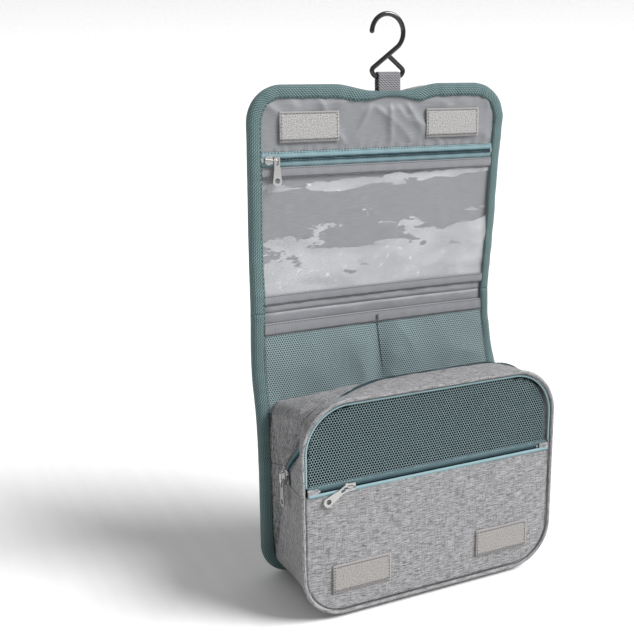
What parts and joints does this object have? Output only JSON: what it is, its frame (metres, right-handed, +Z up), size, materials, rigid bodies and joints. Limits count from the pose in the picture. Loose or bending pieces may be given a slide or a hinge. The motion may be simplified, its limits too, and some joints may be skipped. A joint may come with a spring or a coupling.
{
  "type": "hanging toiletry bag",
  "caption": "Unfolded hanging wash bag: wire hook, bound folding panel with clear zipped window and net pocket, and a zipped box pouch with a net front.",
  "frame": {"origin": "centre of the hook's bow, on the axis of the rail it hangs from", "axes": "+Z up; -Y out of the inner face, towards the person who opens the bag; +X to that person's right"},
  "size_m": [0.24, 0.0983, 0.4703],
  "materials": {
    "black_wire": "gloss black coating",
    "tab_webbing": "herringbone webbing",
    "teal_webbing": "twill binding",
    "heather_cloth": "heathered plain weave",
    "heather_piping": "heathered plain weave",
    "white_foam": "closed-cell foam",
    "grey_lining": "fine nylon taffeta",
    "grey_band": "ribbed tape",
    "teal_net": "open net",
    "clear_film": "clear flexible film",
    "zip_tape": "woven zip tape",
    "zip_coil": "nylon coil",
    "zip_metal": "bright plated",
    "loop_pile": "soft loop pile",
    "hook_pile": "fine hook pile"
  },
  "bodies": {
    "hook": {"hook": "black_wire"},
    "flap": {"hanging_tab": "tab_webbing", "outer_shell_flap": "heather_cloth", "foam_board_flap": "white_foam", "lining_flap": "grey_lining", "binding_flap": "teal_webbing", "header_panel": "grey_lining", "window_film_flap": "clear_film", "window_band_top": "grey_band", "flap_zip_tape_upper": "zip_tape", "flap_zip_tape_lower": "zip_tape", "flap_zip_coils": "zip_coil", "flap_zip_stops": "zip_metal", "loop_patch_left": "loop_pile", "loop_patch_right": "loop_pile"},
    "bridge": {"outer_shell_bridge": "heather_cloth", "foam_board_bridge": "white_foam", "lining_bridge": "grey_lining", "binding_bridge": "teal_webbing", "window_film_bridge": "clear_film", "window_band_bottom": "grey_band", "mesh_pocket": "teal_net", "mesh_pocket_hem": "grey_band", "mesh_pocket_tack": "grey_band"},
    "pouch": {"outer_shell_back": "heather_cloth", "foam_board_back": "white_foam", "lining_back": "grey_lining", "binding_back": "teal_webbing", "gusset_bottom": "heather_cloth", "gusset_lining": "grey_lining", "gusset_rear": "heather_cloth", "gusset_tape_rear": "zip_tape", "gusset_coil_rear": "zip_coil", "front_panel": "heather_cloth", "front_lining_lower": "grey_lining", "piping_lower": "heather_piping", "hook_patch_left": "hook_pile", "hook_patch_right": "hook_pile"},
    "lid": {"front_panel_lip": "heather_cloth", "front_mesh": "teal_net", "front_mesh_trim": "teal_webbing", "front_lining_upper": "grey_lining", "front_zip_tape_upper": "zip_tape", "front_zip_tape_lower": "zip_tape", "front_zip_coils": "zip_coil", "front_zip_stops": "zip_metal", "gusset_front": "heather_cloth", "gusset_tape_front": "zip_tape", "gusset_coil_front": "zip_coil", "piping_upper": "heather_piping"},
    "flap_slider": {"flap_slider": "zip_metal"},
    "flap_pull": {"flap_pull": "zip_metal"},
    "front_slider": {"front_slider": "zip_metal"},
    "front_pull": {"front_pull": "zip_metal"},
    "gusset_slider": {"gusset_slider": "zip_metal"},
    "gusset_pull": {"gusset_pull": "zip_metal"}
  },
  "joints": [
    {"name": "flap_swing", "type": "hinge", "parent": "hook", "child": "flap", "pos_m": [0, 0, -0.0344], "axis": [1, 0, 0], "range_deg": [-80, 0]},
    {"name": "upper_fold", "type": "hinge", "parent": "flap", "child": "bridge", "pos_m": [-0.0065, -0.0042, -0.1709], "axis": [-1, 0, 0], "range_deg": [0, 90]},
    {"name": "lower_fold", "type": "hinge", "parent": "bridge", "child": "pouch", "pos_m": [-0.0065, -0.0042, -0.2699], "axis": [-1, 0, 0], "range_deg": [0, 90]},
    {"name": "lid_hinge", "type": "hinge", "parent": "pouch", "child": "lid", "pos_m": [-0.0065, -0.09, -0.3569], "axis": [-1, 0, 0], "range_deg": [-85, 0]},
    {"name": "flap_zip", "type": "slide", "parent": "flap", "child": "flap_slider", "axis": [1, 0, 0], "range_m": [0, 0.2016]},
    {"name": "flap_pull_swing", "type": "hinge", "parent": "flap_slider", "child": "flap_pull", "pos_m": [-0.1031, -0.00715, -0.0979], "axis": [0, 1, 0], "range_deg": [-85, 55]},
    {"name": "front_zip", "type": "slide", "parent": "lid", "child": "front_slider", "axis": [1, 0, 0], "range_m": [-0.018, 0.174]},
    {"name": "front_pull_swing", "type": "hinge", "parent": "front_slider", "child": "front_pull", "pos_m": [-0.0887, -0.09265, -0.34415], "axis": [0, -1, 0], "range_deg": [-25, 115]},
    {"name": "gusset_zip", "type": "slide", "parent": "pouch", "child": "gusset_slider", "axis": [0, 0, 1], "range_m": [0, 0.024]},
    {"name": "gusset_pull_swing", "type": "hinge", "parent": "gusset_slider", "child": "gusset_pull", "pos_m": [-0.12415, -0.052, -0.3478], "axis": [1, 0, 0], "range_deg": [-75, 75]}
  ]
}
